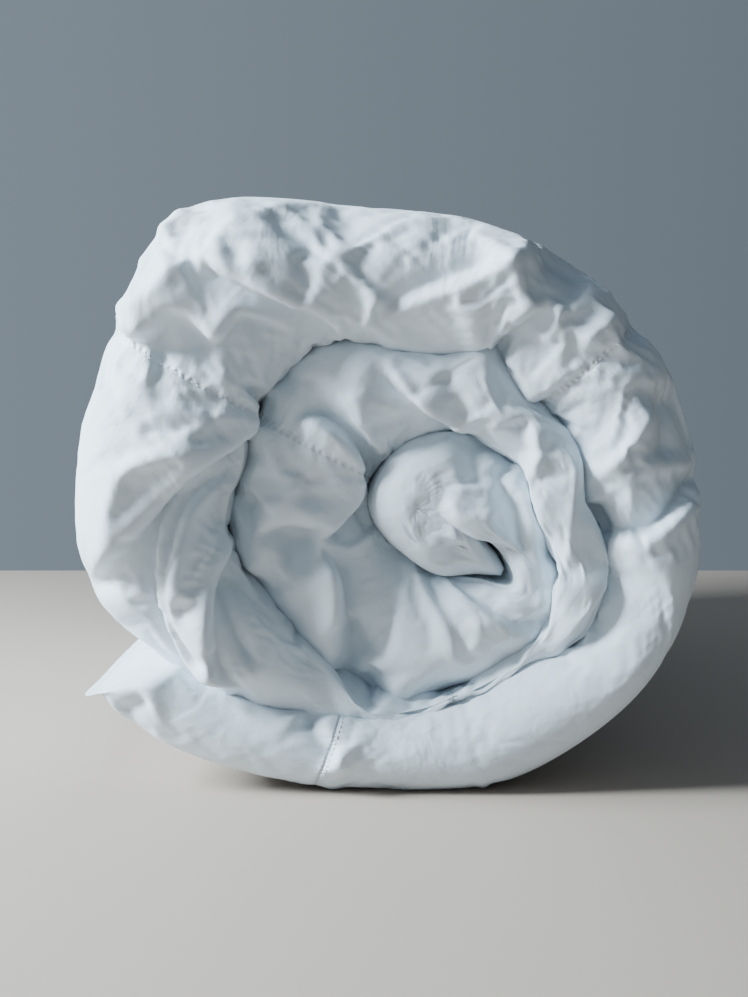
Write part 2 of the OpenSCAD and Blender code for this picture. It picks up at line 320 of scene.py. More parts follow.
SEAM_SINK = 1.8  # how deep the seams lie in the cloth
SEAM_FIRM = (0.35, 1, 1, 0.6, 0.4)  # how hard each seam across draws the cloth in
HEM_TUCK = 2.5  # how far a hem reaches back into its shell
STITCH = 3.0
STITCH_GAP = 1.1
THREAD = 0.75
THREAD_LIFT = 0.25
PUCKER = 0.55
TAIL_ROUND = 18.0  # the lengths over which the fill swells up from the ends and the side hems
CORE_ROUND = 9.0
HEM_ROUND = 55.0


def fold_surface(rows, angle, length, face=True):
    """Points in millimetres over the face of the folded duvet, or over its back inside the fold."""
    v, phi = rows[:, None], angle[None, :]
    arc = math.pi * np.clip(v, 0, 1)
    leg = np.maximum(np.maximum(-v, v - 1), 0)
    start = front_depth(phi)
    fold = np.clip((outside(phi, start) - inside(phi, start)) / 2, 4, FOLD_DEPTH)
    dome = smoothstep((phi - DOME_START) / 70)
    rise = np.where(arc > math.pi / 2, mix(np.sin(arc), 1, dome), np.sin(arc))
    drop = np.where(v > 0.5, 1 - dome, 1.0)
    shallow = start + fold * drop
    tail = round_off(length / TAIL_ROUND)[None, :]
    core = round_off((length[-1] - length) / CORE_ROUND)[None, :]
    plump = tail * core * round_off((1 - leg) * LEG_LENGTH / HEM_ROUND)
    level = np.where(leg > 0, shallow + (HEM_LINE - shallow) * leg, start + fold * (1 - rise))
    half = np.maximum((outside(phi, level) - inside(phi, level)) / 2, HALF_THINNEST)
    thin = np.clip(HEM_THICK / half, 0.02, 0.9)
    plump = thin + (1 - thin) * plump
    band = 0.5 + 0.5 * plump if face else np.maximum(0.5 - 0.5 * plump, 0.012)
    level = np.where(leg > 0, level, start + fold * (1 - band * rise))
    # the two legs close together at the tail, on the outside
    outer = outside(phi, level)
    half = np.maximum((outer - inside(phi, level)) / 2, HALF_THINNEST)
    half = mix(np.minimum(half, 1.6 * HEM_THICK), half, tail)
    # towards the hems the legs lie loosely, except on the table
    off_table = smoothstep((np.cos(np.radians(phi + 90)) + 1.02) / 0.5)
    loose = smoothstep((level - 400) / 270) * off_table
    stray = np.where(v < 0, back_sway(length), back_sway(length + 260))
    radius = outer - half + half * band * np.cos(arc) + loose * np.clip(stray, -5.5, 4.0)
    level = level - loose * 3.5 * (1 + np.sin(length / 97 + np.where(v < 0, 0, 2)))
    turn = np.radians(phi) + 0 * radius
    return np.stack(
        [CENTRE_X + radius * np.cos(turn), level - ROLL_LENGTH / 2, CENTRE_Z + radius * np.sin(turn)], -1
    )


def unit(vectors):
    """The same vectors at length 1."""
    return vectors / np.maximum(np.linalg.norm(vectors, axis=-1, keepdims=True), 1e-9)


def path_lengths(line):
    """The length of a line of points up to each of them."""
    return np.concatenate([[0], np.cumsum(np.linalg.norm(np.diff(line, axis=0), axis=1))])


def grid_normals(points):
    """Outward normals of a grid of points over the face."""
    return unit(np.cross(np.gradient(points, axis=1), np.gradient(points, axis=0)))


def long_seam_rows(points, rows):
    """For each ring, the outer leg's row that is nearest to the seam along the duvet."""
    outer = np.nonzero(rows < 0)[0]
    depth = points[outer, :, 1] + ROLL_LENGTH / 2
    return outer[np.argmin(abs(depth - LONG_SEAM_Y), axis=0)]


def fold_line(points, spacing=2.0):
    """A smooth line through a fold's points, sampled evenly."""
    points = np.array(points, float)
    chord = path_lengths(points)
    at = np.linspace(0, chord[-1], max(int(chord[-1] / spacing), 4) + 1)
    return np.stack([through(np.stack([chord, points[:, k]], 1), at) for k in (0, 1)], 1)


def beside_line(line, flat):
    """For each flat point: its distance from a line, how far left it lies, which way left is, and where
    along the line from 0 to 1 it lies."""
    gap = flat[:, :, None, :] - line
    distance = np.linalg.norm(gap, axis=-1)
    nearest = distance.argmin(-1)
    tangent = unit(np.gradient(line, axis=0))
    left = np.stack([-tangent[:, 1], tangent[:, 0]], 1)[nearest]
    to = np.take_along_axis(gap, nearest[..., None, None], 2)[:, :, 0, :]
    return distance.min(-1), (to * left).sum(-1), left, nearest / (len(line) - 1)


def fold_profile(kind, height, width, distance, side):
    """How far a fold rises or sinks beside its line, and how far its lip leans over."""
    if kind == "tuck":
        step = np.tanh(side / 1.8)
        up = 0.5 * (1 + step) * np.exp(-distance / (1.6 * width))
        down = 0.5 * (1 - step) * np.exp(-distance / (1.2 * width))
        rise = TUCK_GAIN * height * (0.45 * up - 0.55 * down)
        return rise, -0.35 * height * up * np.exp(-distance / 6)
    crest = np.exp(1.5 / width - np.sqrt(distance**2 + 1.5**2) / width)
    sign = 1 if kind == "ridge" else -1
    return sign * CREASE_GAIN * height * crest, 0 * distance


def fold_moves(points, rows, angle):
    """Moves that raise the ridges, sink the valleys and step the tucks, and how firmly each is held."""
    normal = grid_normals(points)
    facing = smoothstep((0.12 - normal[..., 1]) / 0.5)
    moves, held = np.zeros_like(points), np.zeros(points.shape[:2])
    first_row, last_row = FOLD_ROWS
    near = np.nonzero((rows > first_row) & (rows < last_row))[0]
    row_share = smoothstep((rows - first_row) / 0.08) * smoothstep((last_row - rows) / 0.05)
    for kind, height, width, lap, line in FOLDS:
        line = fold_line(line)
        offset = line - (CENTRE_X, CENTRE_Z)
        turn = np.unwrap(np.arctan2(offset[:, 1], offset[:, 0]) % (2 * math.pi))
        turn = np.degrees(turn) + 360 * lap
        low, high = CORE_TURNS if lap == 2 else (turn.min() - 14, turn.max() + 14)
        ring_share = smoothstep((angle - low) / 8) * smoothstep((high - angle) / 8)
        ring = np.nonzero(ring_share > 0)[0]
        here = np.ix_(near, ring)
        distance, side, left, along = beside_line(line, points[here][..., (0, 2)])
        ends = smoothstep(along / 0.22) * smoothstep((1 - along) / 0.22)
        weight = ends * facing[here] * row_share[near][:, None] * ring_share[ring][None, :]
        rise, lip = fold_profile(kind, height, width, distance, side)
        out = unit(0.6 * normal[here] + 0.4 * np.array((0, -1, 0)))
        shift = out * (rise * weight)[..., None]
        shift[..., 0] += left[..., 0] * lip * weight
        shift[..., 2] += left[..., 1] * lip * weight
        moves[here] += shift
        held[here] = np.maximum(held[here], np.clip(-rise / height * 2, 0, 1) * weight)
    # even out the moves of neighbouring points
    wide = np.pad(moves, ((1, 1), (1, 1), (0, 0)), mode="edge")
    wide = (wide[:-2] + 2 * wide[1:-1] + wide[2:]) / 4
    moves = (wide[:, :-2] + 2 * wide[:, 1:-1] + wide[:, 2:]) / 4
    return moves, held


# ---- cloth simulation ----

SIM_FRAMES = 20
SEAM_HOLD = 0.8  # how firmly seams and valleys are held, from 0 to 1
FOLD_HOLD = 0.85


def grid_mesh(name, points):
    """A sheet whose grid of points is laid as given, in millimetres."""
    rows, rings = points.shape[:2]
    bm = bmesh.new()
    bmesh.ops.create_grid(bm, x_segments=rings - 1, y_segments=rows - 1, size=1)
    mesh = bpy.data.meshes.new(name)
    bm.to_mesh(mesh)
    bm.free()
    mesh.vertices.foreach_set("co", (points * MM).astype(np.float32).ravel())
    mesh.update()
    return mesh


def mesh_points(mesh, shape):
    """The points of a grid mesh, in millimetres."""
    co = np.zeros(len(mesh.vertices) * 3, np.float32)
    mesh.vertices.foreach_get("co", co)
    return co.reshape(*shape[:2], 3).astype(float) / MM


def add_weights(piece, name, weights):
    """A vertex group whose weights are rounded to a few levels."""
    group = piece.vertex_groups.new(name=name)
    level = np.round(weights.ravel(), 2)
    for value in np.unique(level):
        if value > 0:
            group.add(np.nonzero(level == value)[0].tolist(), float(value), "REPLACE")


def puff_out(points, held, settings):
    """Moves of the ticking once pressed out from inside, as down presses it."""
    mesh = grid_mesh("puff", points)
    piece = bpy.data.objects.new("puff", mesh)
    bpy.context.scene.collection.objects.link(piece)
    add_weights(piece, "held", held)
    cloth = piece.modifiers.new("cloth", "CLOTH")
    s = cloth.settings
    s.quality = 4
    s.mass = 0.15
    s.air_damping = 2
    s.tension_stiffness = s.compression_stiffness = 15
    s.shear_stiffness = 5
    s.bending_stiffness = 0.25
    s.tension_damping = s.compression_damping = s.shear_damping = 5
    s.bending_damping = 0.5
    s.use_pressure = True
    s.uniform_pressure_force = settings.pressure
    s.vertex_group_mass = "held"
    s.pin_stiffness = 1
    s.shrink_min = -settings.excess
    s.effector_weights.gravity = 0
    cloth.collision_settings.use_collision = False
    cloth.collision_settings.use_self_collision = False
    for number in range(1, SIM_FRAMES + 1):
        bpy.context.scene.frame_set(number)
    graph = bpy.context.evaluated_depsgraph_get()
    done = bpy.data.meshes.new_from_object(piece.evaluated_get(graph))
    moved = mesh_points(done, points.shape)
    bpy.data.objects.remove(piece)
    bpy.context.scene.frame_set(1)
    move = moved - points
    share = np.maximum(np.linalg.norm(move, axis=-1, keepdims=True), 1e-6) / (settings.most_move / MM)
    return move * np.tanh(share) / share


def spread(values, old, new, axis):
    """Values on old places carried smoothly to new places along one axis."""
    place = np.interp(new, old, np.arange(len(old)))
    i = np.clip(np.floor(place).astype(int), 0, len(old) - 2)
    t = place - i
    shape = [1] * values.ndim
    shape[axis] = -1
    t = t.reshape(shape)
    a, b, c, d = (np.take(values, np.clip(i + k, 0, len(old) - 1), axis) for k in (-1, 0, 1, 2))
    return b + 0.5 * t * (c - a + t * (2 * a - 5 * b + 4 * c - d + t * (3 * (b - c) + d - a)))


def held_shares(base, rows, angle, hold):
    """How firmly each point is held: hems, seams, valleys, the core and what lies out of sight."""
    depth = base[..., 1] + ROLL_LENGTH / 2
    behind = depth - (front_depth(angle) + FOLD_DEPTH)[None, :]
    inner = (rows > 1)[:, None]
    hidden = inner | ((rows < 0)[:, None] & (angle > HIDDEN_ANGLE)[None, :])
    held = np.where(hidden, smoothstep((behind - 20) / 50), 0.0)
    held = np.maximum(held, smoothstep((depth - HEM_LINE + 40) / 20))
    seam_rings = [ring_at(angle, seam) for seam in SEAM_ANGLES]
    held[:, seam_rings] = np.maximum(held[:, seam_rings], SEAM_HOLD)
    along = (long_seam_rows(base, rows), np.arange(len(angle)))
    held[along] = np.maximum(held[along], SEAM_HOLD)
    core = smoothstep((rows[:, None] - 0.6) / 0.15) * smoothstep((angle[None, :] - 660) / 40)
    held = np.maximum(np.maximum(held, FOLD_HOLD * hold), core)
    held[:, :2] = held[:, -2:] = 1
    return held


def cloth_moves(settings):
    """The simulated moves on a coarse grid, with the grid's rows and ring lengths."""
    rows = section_rows(front=70, leg_first=5, growth=1.1, leg_most=10, arc_rows=28)
    angle, length = ring_angles(5.0)
    base = fold_surface(rows, angle, length)
    fold, hold = fold_moves(base, rows, angle)
    points = base + fold
    moves = puff_out(points, held_shares(base, rows, angle, hold), settings)
    flat_below = mix(0.3, 1, smoothstep((angle + 110) / 110))
    packed_inside = mix(1, 0.7, smoothstep((angle - 240) / 60))
    moves *= (flat_below * packed_inside)[None, :, None]
    moves[..., 2] = np.maximum(moves[..., 2], OVER_TABLE - points[..., 2])
    return moves, rows, length


# ---- shells ----


def closed_skin(name, loops, uv):
    """A closed tube: loops[i, j] goes round the section with i and along the piece with j."""
    around, along = loops.shape[:2]
    points = np.concatenate([loops, loops[:1]], 0)
    mesh = grid_mesh(name, points)
    corner = np.zeros(len(mesh.loops), np.int32)
    mesh.loops.foreach_get("vertex_index", corner)
    uv = np.concatenate([uv, uv[-1:]], 0).reshape(-1, 2)
    layer = mesh.uv_layers.new(name="cloth")
    layer.data.foreach_set("uv", uv[corner].astype(np.float32).ravel())
    bm = bmesh.new()
    bm.from_mesh(mesh)
    bm.verts.ensure_lookup_table()
    last = around * along
    bmesh.ops.weld_verts(bm, targetmap={bm.verts[last + j]: bm.verts[j] for j in range(along)})
    for _ in range(2):
        rim = loop_from(next(edge for edge in bm.edges if edge.is_boundary))
        bmesh.ops.triangle_fill(bm, use_beauty=False, edges=rim)
    bmesh.ops.recalc_face_normals(bm, faces=bm.faces)
    bm.to_mesh(mesh)
    bm.free()
    mesh.shade_smooth()
    piece = bpy.data.objects.new(name, mesh)
    bpy.context.scene.collection.objects.link(piece)
    return piece


def loop_from(edge):
    """The boundary edges joined to this one."""
    found, todo = [edge], [edge]
    while todo:
        for vert in todo.pop().verts:
            for other in vert.link_edges:
                if other.is_boundary and other not in found:
                    found.append(other)
                    todo.append(other)
    return found


def finished_face(settings):
    """The face of the whole duvet on its fine grid, with rows, angles, lengths and back."""
    rows = section_rows(front=90, leg_first=2.1, growth=1.08, leg_most=9, arc_rows=70)
    angle, length = ring_angles(2.0)
    base = fold_surface(rows, angle, length)
    fold, _ = fold_moves(base, rows, angle)
    face = base + fold
    moves, old_rows, old_length = cloth_moves(settings)
    face = face + spread(spread(moves, old_rows, rows, 0), old_length, length, 1)
    face = face + seam_moves(face, rows, angle, length)
    face[..., 2] = np.maximum(face[..., 2], OVER_TABLE)
    leg = np.linspace(0, 1, 12)[1:] ** 1.2
    back_rows = np.concatenate([-leg[::-1], np.linspace(0, 1, 9), 1 + leg])
    back = fold_surface(back_rows, angle, length, face=False)
    return face, back, rows, angle, length


def seam_moves(face, rows, angle, length):
    """Sinks the face along its seams, with the small puckers that the stitches draw."""
    normal = grid_normals(face)
    depth = face[..., 1] + ROLL_LENGTH / 2
    ring_length = length[None, :] + 0 * depth
    over_fold = np.cumsum(np.linalg.norm(np.diff(face, axis=0, prepend=face[:1]), axis=-1), 0)
    seams = [
        (ring_length - np.interp(seam, angle, length), over_fold, firm)
        for seam, firm in zip(SEAM_ANGLES, SEAM_FIRM)
    ]
    seams.append((np.where(rows[:, None] < 0, depth - LONG_SEAM_Y, FAR), ring_length, 1))
    sink = np.zeros_like(depth)
    for past, along, firm in seams:
        away = np.abs(past)
        pucker = np.sin(along / 2.6 + 1.7 * np.sin(along / 11))
        pucker += 0.7 * np.sin(along / 4.9 + 2.1 * np.sin(along / 31))
        sink -= firm * SEAM_SINK * np.exp(-((away / 4.5) ** 2))
        sink += firm * PUCKER * pucker * np.exp(-away / 13) * smoothstep(away / 5)
    ends = smoothstep((HEM_LINE - 30 - depth) / 30) * smoothstep(length / 20)[None, :]
    return normal * (sink * ends)[..., None]


def cloth_uv(points, length):
    """Metres along the duvet and across it, for the weave."""
    step = np.linalg.norm(np.diff(points, axis=0), axis=-1).mean(1)
    across = np.concatenate([[0], np.cumsum(step)]) * MM
    u = np.broadcast_to(length[None, :] * MM, points.shape[:2])
    return np.stack([u, np.broadcast_to(across[:, None], u.shape)], -1)


def shell(name, face, back, length, first, last):
    """The closed ticking between two rings, from its face round to its back."""
    loops = np.concatenate([face, back[::-1]], 0)[:, first:last]
    uv = np.concatenate([cloth_uv(face, length), cloth_uv(back, length)[::-1]], 0)[:, first:last]
    return closed_skin(name, loops, uv)


# ---- hems and stitches ----


def hem_band(name, line, out, thick):
    """A sewn hem: a flat band with rounded edges that stands out from a line of the shell."""
    turn = np.linspace(0, 2 * math.pi, 16, endpoint=False)
    wide = np.sign(np.cos(turn)) * np.abs(np.cos(turn)) ** 0.35
    high = np.sign(np.sin(turn)) * np.abs(np.sin(turn)) ** 0.5
    along = path_lengths(line)
    ripple = 1 + 0.22 * np.sin(along / 3.1 + 2 * np.sin(along / 17))
    sway = 0.9 * np.sin(along / 19 + 1.5 * np.sin(along / 53))
    centre = line + out * (HEM_WIDTH / 2 - HEM_TUCK)
    reach = (wide * HEM_WIDTH / 2)[:, None, None] * out[None]
    swing = ((wide + 1) / 2)[:, None, None] * (sway[:, None] * thick)[None]
    body = (high * HEM_THICK * 0.42)[:, None, None] * (ripple[:, None] * thick)[None]
    loops = centre[None] + reach + swing + body
    u = np.broadcast_to(along[None, :] * MM, loops.shape[:2])
    v = np.broadcast_to((turn / (2 * math.pi) * 0.026)[:, None], u.shape)
    return closed_skin(name, loops, np.stack([u, v], -1))


def stitch_line(bm, line, normal, lift):
    """Short rounded stitches, end to end with small gaps, along a line on the cloth."""
    along = path_lengths(line)
    pitch = STITCH + STITCH_GAP
    for number in range(int(along[-1] / pitch)):
        at = np.array([number, number + STITCH / pitch]) * pitch + STITCH_GAP / 2
        ends = np.stack([np.interp(at, along, line[:, k]) for k in range(3)], 1)
        up = Vector([float(np.interp(at.mean(), along, normal[:, k])) for k in range(3)])
        tangent = Vector(ends[1] - ends[0])
        if tangent.length < STITCH / 2:
            continue
        middle = Vector(ends.mean(0)) + up * lift
        turn = tangent.to_track_quat("Z", "Y").to_matrix().to_4x4()
        size = Matrix.Diagonal((THREAD / 2, THREAD / 2, STITCH / 2, 1))
        matrix = Matrix.Scale(MM, 4) @ Matrix.Translation(middle) @ turn @ size
        bmesh.ops.create_icosphere(bm, subdivisions=1, radius=1, matrix=matrix)


def stitches(name, lines):
    """One piece that holds the stitches along several lines of (points, normals, lift)."""
    bm = bmesh.new()
    for line, normal, lift in lines:
        stitch_line(bm, line, normal, lift)
    mesh = bpy.data.meshes.new(name)
    bm.to_mesh(mesh)
    bm.free()
    mesh.shade_smooth()
    piece = bpy.data.objects.new(name, mesh)
    bpy.context.scene.collection.objects.link(piece)
    return piece


# ---- materials ----


def new_material(name):
    """A node material, with its nodes and links."""
    material = bpy.data.materials.new(name)
    material.use_nodes = True
    return material, material.node_tree.nodes, material.node_tree.links


def math_node(nodes, links, operation, first, second):
    """A math node on an output, and on a second output or a plain value."""
    node = nodes.new("ShaderNodeMath")
    node.operation = operation
    links.new(first, node.inputs[0])
    if isinstance(second, (int, float)):
        node.inputs[1].default_value = second
    else:
        links.new(second, node.inputs[1])
    return node.outputs["Value"]


def band(nodes, links, distance, reach):
    """1 at no distance, falling smoothly to 0 at the reach."""
    fall = nodes.new("ShaderNodeMapRange")
    fall.interpolation_type = "SMOOTHSTEP"
    fall.inputs["From Max"].default_value = reach
    fall.inputs["To Min"].default_value = 1
    fall.inputs["To Max"].default_value = 0
    links.new(distance, fall.inputs["Value"])
    return fall.outputs["Result"]


def noise(nodes, links, vector, scale, detail, distortion=0.0, roughness=0.5):
    """Soft noise over a vector output."""
    texture = nodes.new("ShaderNodeTexNoise")
    texture.inputs["Scale"].default_value = scale
    texture.inputs["Detail"].default_value = detail
    texture.inputs["Distortion"].default_value = distortion
    texture.inputs["Roughness"].default_value = roughness
    links.new(vector, texture.inputs["Vector"])
    return texture.outputs["Fac"]


def bump(nodes, links, height, distance, strength=1.0, below=None, invert=False):
    """Bumps from a height output, over the bumps below."""
    node = nodes.new("ShaderNodeBump")
    node.invert = invert
    node.inputs["Strength"].default_value = strength
    node.inputs["Distance"].default_value = distance
    links.new(height, node.inputs["Height"])
    if below:
        links.new(below, node.inputs["Normal"])
    return node.outputs["Normal"]


def thread_waves(nodes, links, uv, direction):
    """The threads of a plain weave that run one way."""
    wave = nodes.new("ShaderNodeTexWave")
    wave.bands_direction = direction
    wave.inputs["Scale"].default_value = 900
    wave.inputs["Distortion"].default_value = 0.8
    wave.inputs["Detail"].default_value = 1
    links.new(uv, wave.inputs["Vector"])
    return wave.outputs["Fac"]


def seam_bump(nodes, links, uv, seams, below):
    """Needle dents along the cross seams and the fine puckers beside them."""
    split = nodes.new("ShaderNodeSeparateXYZ")
    links.new(uv, split.inputs["Vector"])
    distance = None
    for seam in seams:
        away = math_node(nodes, links, "SUBTRACT", split.outputs["X"], float(seam))
        away = math_node(nodes, links, "ABSOLUTE", away, 0)
        distance = away if distance is None else math_node(nodes, links, "MINIMUM", distance, away)
    per_metre = 2 * math.pi / (STITCH + STITCH_GAP) / MM
    turn = math_node(nodes, links, "MULTIPLY", split.outputs["Y"], per_metre)
    beat = math_node(nodes, links, "MULTIPLY_ADD", math_node(nodes, links, "SINE", turn, 0), 0.4)
    beat.node.inputs[2].default_value = 0.6
    dents = math_node(nodes, links, "MULTIPLY", band(nodes, links, distance, 0.003), beat)
    stretch = nodes.new("ShaderNodeMapping")
    stretch.inputs["Scale"].default_value = (0.3, 1, 1)
    links.new(uv, stretch.inputs["Vector"])
    ripples = noise(nodes, links, stretch.outputs["Vector"], 130, 2)
    puckers = math_node(nodes, links, "MULTIPLY", band(nodes, links, distance, 0.038), ripples)
    puckers = math_node(nodes, links, "MULTIPLY", puckers, 1.5)
    height = math_node(nodes, links, "SUBTRACT", puckers, dents)
    return bump(nodes, links, height, 0.0011, below=below)


def cotton(name, colour, shade, crumple=0.5, seams=()):
    """Washed cotton percale: a fine weave, faint crumples, seam puckers and a soft sheen."""
    material, nodes, links = new_material(name)
    shader = nodes["Principled BSDF"]
    shader.inputs["Roughness"].default_value = 0.78
    shader.inputs["Sheen Weight"].default_value = 0.25
    shader.inputs["Sheen Roughness"].default_value = 0.45
    shader.inputs["Specular IOR Level"].default_value = 0.3
    place = nodes.new("ShaderNodeTexCoord")
    mottle = noise(nodes, links, place.outputs["Object"], 9, 4)
    ramp = nodes.new("ShaderNodeValToRGB")
    ramp.color_ramp.elements[0].position = 0.35
    ramp.color_ramp.elements[1].position = 0.7
    ramp.color_ramp.elements[0].color = (*shade, 1)
    ramp.color_ramp.elements[1].color = (*colour, 1)
    links.new(mottle, ramp.inputs["Fac"])
    links.new(ramp.outputs["Color"], shader.inputs["Base Color"])
    crumples = noise(nodes, links, place.outputs["Object"], 55, 5, distortion=0.6, roughness=0.55)
    below = bump(nodes, links, crumples, 0.0017, crumple)
    # creases run where the noise crosses its middle, and fade with the mottle
    winding = noise(nodes, links, place.outputs["Object"], 13, 3, distortion=1.1)
    from_crease = math_node(nodes, links, "SUBTRACT", winding, 0.5)
    from_crease = math_node(nodes, links, "ABSOLUTE", from_crease, 0)
    creases = math_node(nodes, links, "MULTIPLY", band(nodes, links, from_crease, 0.12), mottle)
    below = bump(nodes, links, creases, 0.002, crumple, below, invert=True)
    if seams:
        below = seam_bump(nodes, links, place.outputs["UV"], seams, below)
    threads = [thread_waves(nodes, links, place.outputs["UV"], way) for way in ("X", "Y")]
    weave = math_node(nodes, links, "MAXIMUM", *threads)
    links.new(bump(nodes, links, weave, 0.00012, 0.35, below), shader.inputs["Normal"])
    return material


# ---- settings ----


class DuvetShape(bpy.types.PropertyGroup):
    """How full the duvet is, and how its ticking lies."""

    pressure: FloatProperty(
        name="Fill pressure", description="How hard the down presses the ticking out",
        default=3.5, min=0.5, max=8.0)
    excess: FloatProperty(
        name="Spare cloth", description="Share by which the ticking is longer than its seams",
        default=0.032, min=0.0, max=0.12, subtype="FACTOR")
    most_move: FloatProperty(
        name="Most puff", description="The furthest that the down may press the ticking out",
        default=0.015, min=0.005, max=0.03, unit="LENGTH")


class DuvetColours(bpy.types.PropertyGroup):
    """Colours of the duvet and its studio."""

    ticking: FloatVectorProperty(
        name="Ticking", description="Colour of the cotton ticking",
        size=3, default=(0.75, 0.825, 0.885), min=0, max=1, subtype="COLOR")
    ticking_shade: FloatVectorProperty(
        name="Ticking, worn", description="The same cotton where it is washed thin",
        size=3, default=(0.69, 0.77, 0.835), min=0, max=1, subtype="COLOR")
    thread: FloatVectorProperty(
        name="Thread", description="Colour of the sewing thread",
        size=3, default=(0.85, 0.85, 0.84), min=0, max=1, subtype="COLOR")
    floor: FloatVectorProperty(
        name="Floor", description="Colour of the plain floor",
        size=3, default=(0.43, 0.355, 0.295), min=0, max=1, subtype="COLOR")


class StudioSettings(bpy.types.PropertyGroup):
    """Light and camera."""

    key_power: FloatProperty(
        name="Window power", description="Power of the large soft light, in watts",
        default=172.0, min=1, max=400)
    sky: FloatProperty(
        name="Room light", description="Strength of the light from all round",
        default=0.27, min=0, max=2)
    camera_distance: FloatProperty(
        name="Camera distance", description="From the camera to the roll's front",
        default=0.875, min=0.4, max=3, unit="LENGTH")
    camera_height: FloatProperty(
        name="Camera height", description="Height of the camera above the floor",
        default=0.255, min=0, max=1, unit="LENGTH")
    camera_tilt: FloatProperty(
        name="Camera tilt", description="How far the camera looks down",
        default=math.radians(4.06), min=0, max=1, subtype="ANGLE")


# ---- operators ----

LAID = {}  # the finished cloth, for the hems and stitches that follow it
FLOOR_REACH = 3.0
FLOOR_BACK = 0.85
WINDOW_SIZE = 0.65
WINDOW_PLACE = (-1.65, -0.58, 1.05)
WINDOW_AIM = (0, -0.2, 0.2)
WINDOW_COLOUR = (0.76, 0.90, 1.0)
ROOM_COLOUR = (0.68, 0.84, 1.0, 1)
ROOM_SHARES = (1.65, 0.35)  # of the room light, on the window's side and on the other
CAMERA_X = -0.010


class DUVET_OT_shell(bpy.types.Operator):
    """Sews the ticking of the roll and of its flap"""

    bl_idname = "duvet.shell"
    bl_label = "Sew Ticking"

    def execute(self, context):
        colours = context.scene.duvet_colours
        face, back, rows, angle, length = finished_face(context.scene.duvet_shape)
        LAID.update(face=face, back=back, rows=rows, angle=angle, length=length)
        split = ring_at(angle, FLAP_ANGLE)
        roll = shell("ticking_roll", face, back, length, split, len(angle))
        flap = shell("ticking_flap", face, back, length, 0, split + 1)
        seams = [float(np.interp(seam, angle, length)) * MM for seam in SEAM_ANGLES]
        material = cotton("cotton percale", colours.ticking, colours.ticking_shade, seams=seams)
        for piece in (roll, flap):
            piece.data.materials.append(material)
        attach(roll, "roll")
        chambers = [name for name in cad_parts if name.startswith(("down_", "cross_baffle_"))]
        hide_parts("face_panel", "back_panel", "long_baffle_outer", "long_baffle_inner",
                    "cross_seam_tapes", *chambers)
        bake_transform(flap)
        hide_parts(*(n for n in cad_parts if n.startswith("flap_") and "hem" not in n))
        return {"FINISHED"}


def ride_or_bend(piece, body, material):
    """Dresses a piece and joins it to the roll, or, on the flap, bakes its placement into its mesh."""
    piece.data.materials.append(material)
    if body == "flap":
        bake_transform(piece)
    else:
        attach(piece, body)


class DUVET_OT_hems(bpy.types.Operator):
    """Sews the hems along the duvet's sides and ends"""

    bl_idname = "duvet.hems"
    bl_label = "Sew Hems"

    def execute(self, context):
        colours = context.scene.duvet_colours
        material = cotton("hem cotton", colours.ticking, colours.ticking_shade, crumple=0.35)
        face, back, rows, angle, length = (LAID[k] for k in ("face", "back", "rows", "angle", "length"))
        split = ring_at(angle, FLAP_ANGLE)
        to_back = np.array((0.0, 1.0, 0.0))
        for name, row in (("outer_side_hem", 0), ("inner_side_hem", -1)):
            line, thick = (face[row] + back[row]) / 2, unit(face[row] - back[row])
            out = np.broadcast_to(to_back, line.shape)
            roll = hem_band(name, line[split:], out[split:], thick[split:])
            ride_or_bend(roll, "roll", material)
            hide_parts("side_hem_outer" if row == 0 else "side_hem_inner")
            flap = hem_band("flap_" + name, line[: split + 1], out[: split + 1], thick[: split + 1])
            ride_or_bend(flap, "flap", material)
            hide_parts("flap_side_hems")
        outside_cloth, inside_cloth = (fold_surface(rows, angle, length, side) for side in (True, False))
        middle, gap = (outside_cloth + inside_cloth) / 2, outside_cloth - inside_cloth
        for name, ring, nearby, body, node in (("tail_hem", 0, 2, "flap", "flap_end_hem"),
                                               ("core_hem", -1, -3, "roll", "core_end_hem")):
            line = middle[:, ring]
            hem = hem_band(name, line, unit(line - middle[:, nearby]), unit(gap[:, ring]))
            ride_or_bend(hem, body, material)
            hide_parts(node)
        return {"FINISHED"}


class DUVET_OT_stitches(bpy.types.Operator):
    """Stitches the seams across the duvet and the one along it"""

    bl_idname = "duvet.stitches"
    bl_label = "Stitch Seams"

    def execute(self, context):
        colours = context.scene.duvet_colours
        thread = cotton("cotton thread", colours.thread, colours.thread, crumple=0.0)
        face, rows, angle, length = (LAID[k] for k in ("face", "rows", "angle", "length"))
        normal = grid_normals(face)
        cross = []
        for seam in SEAM_ANGLES:
            # the flap's seam is stitched just on the roll's side of it
            ring = ring_at(angle, seam) + (1 if seam == FLAP_ANGLE else 0)
            part = (rows < 1) & (rows > (-1 if seam < HIDDEN_ANGLE else 0))
            cross.append((face[part, ring], normal[part, ring], THREAD_LIFT))
        ride_or_bend(stitches("cross_seam_stitches", cross), "roll", thread)
        row = long_seam_rows(face, rows)
        ring = np.arange(len(angle))
        split, last = ring_at(angle, FLAP_ANGLE), ring_at(angle, HIDDEN_ANGLE)
        for name, body, first, end in (("long_seam_stitches", "roll", split, last),
                                       ("flap_seam_stitches", "flap", 4, split)):
            part = (row[first:end], ring[first:end])
            seam = stitches(name, [(face[part], normal[part], THREAD_LIFT)])
            ride_or_bend(seam, body, thread)
        return {"FINISHED"}


